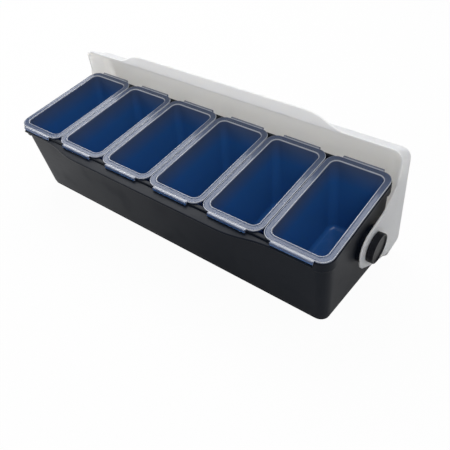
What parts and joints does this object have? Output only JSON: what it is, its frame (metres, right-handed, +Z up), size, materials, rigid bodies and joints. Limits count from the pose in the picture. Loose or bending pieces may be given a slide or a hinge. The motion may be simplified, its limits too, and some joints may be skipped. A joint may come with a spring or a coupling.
{
  "type": "bar condiment holder",
  "caption": "Long table-top condiment holder with lift-out tinted pans in a sloping black tub and a milky hinged lid standing open.",
  "frame": {"origin": "centre of the flat underside of the tub's plinth, on the table", "axes": "+X along the row of inserts to the right, +Y to the back where the lid stands, +Z up"},
  "size_m": [0.4816, 0.2046, 0.1759],
  "materials": {
    "tub_black": "satin black moulded plastic",
    "lid_milky": "milky translucent plastic",
    "insert_tint": "dark blue tinted translucent plastic",
    "knob_black": "black plastic",
    "stud_steel": "plain steel",
    "bush_nylon": "natural nylon",
    "thread_brass": "turned brass"
  },
  "bodies": {
    "tub_body": {"tub": "tub_black", "hinge_knob_left": "knob_black", "hinge_stud_left": "stud_steel", "hinge_bush_left": "bush_nylon", "thread_insert_left": "thread_brass", "hinge_knob_right": "knob_black", "hinge_stud_right": "stud_steel", "hinge_bush_right": "bush_nylon", "thread_insert_right": "thread_brass"},
    "lid_body": {"lid": "lid_milky"},
    "insert_1_body": {"insert_1": "insert_tint"},
    "insert_2_body": {"insert_2": "insert_tint"},
    "insert_3_body": {"insert_3": "insert_tint"},
    "insert_4_body": {"insert_4": "insert_tint"},
    "insert_5_body": {"insert_5": "insert_tint"},
    "insert_6_body": {"insert_6": "insert_tint"}
  },
  "joints": [
    {"name": "lid_hinge", "type": "hinge", "parent": "tub_body", "child": "lid_body", "pos_m": [0, 0.003, 0.065], "axis": [-1, 0, 0], "range_deg": [-88, 0]},
    {"name": "insert_1_lift", "type": "slide", "parent": "tub_body", "child": "insert_1_body", "axis": [0, -0.3827, 0.9239], "range_m": [0, 0.09]},
    {"name": "insert_2_lift", "type": "slide", "parent": "tub_body", "child": "insert_2_body", "axis": [0, -0.3827, 0.9239], "range_m": [0, 0.09]},
    {"name": "insert_3_lift", "type": "slide", "parent": "tub_body", "child": "insert_3_body", "axis": [0, -0.3827, 0.9239], "range_m": [0, 0.09]},
    {"name": "insert_4_lift", "type": "slide", "parent": "tub_body", "child": "insert_4_body", "axis": [0, -0.3827, 0.9239], "range_m": [0, 0.09]},
    {"name": "insert_5_lift", "type": "slide", "parent": "tub_body", "child": "insert_5_body", "axis": [0, -0.3827, 0.9239], "range_m": [0, 0.09]},
    {"name": "insert_6_lift", "type": "slide", "parent": "tub_body", "child": "insert_6_body", "axis": [0, -0.3827, 0.9239], "range_m": [0, 0.09]}
  ]
}
